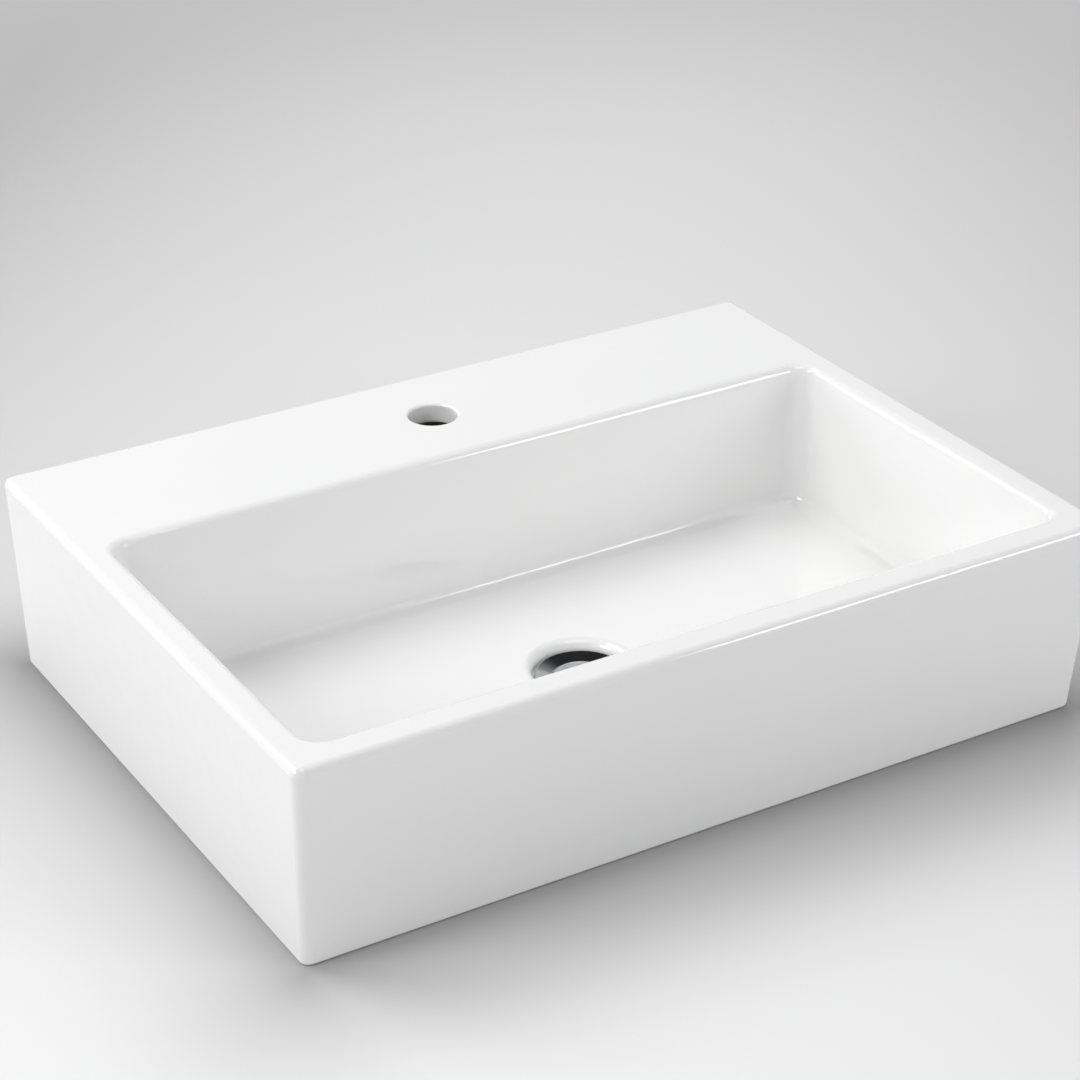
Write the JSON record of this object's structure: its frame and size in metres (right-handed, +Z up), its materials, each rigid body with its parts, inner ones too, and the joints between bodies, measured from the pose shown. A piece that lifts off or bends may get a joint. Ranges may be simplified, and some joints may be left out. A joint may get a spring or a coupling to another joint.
{
  "type": "countertop basin with push-button waste",
  "caption": "Rectangular ceramic countertop basin with a tap ledge, a bare tap hole and a round push-button waste in the bowl floor.",
  "frame": {"origin": "centre of the basin's footprint, on the surface that it stands on", "axes": "+Z up, +Y towards the tap ledge at the back, +X along the long side, to the right of someone at the front"},
  "size_m": [0.5996, 0.4394, 0.145],
  "materials": {
    "glaze": "gloss glaze, even white",
    "chrome": "polished chrome plate",
    "rubber": "matt black",
    "white_plastic": "plain moulded",
    "brass": "as machined",
    "steel": "bright drawn"
  },
  "bodies": {
    "basin_body": {"basin": "glaze", "waste_body": "chrome", "flange_seal": "rubber", "tapered_washer": "rubber", "slip_washer": "white_plastic", "back_nut": "brass", "cartridge_stud": "brass", "stud_locknut": "brass", "cartridge_barrel": "white_plastic", "cartridge_spring": "steel"},
    "plug": {"plug_sleeve": "white_plastic", "track_pin": "steel", "plug_cap": "chrome", "plug_seal": "rubber"}
  },
  "joints": [
    {"name": "plug_lift", "type": "slide", "parent": "basin_body", "child": "plug", "axis": [0, 0, 1], "range_m": [0, 0.008], "deforming": ["cartridge_spring"]}
  ]
}
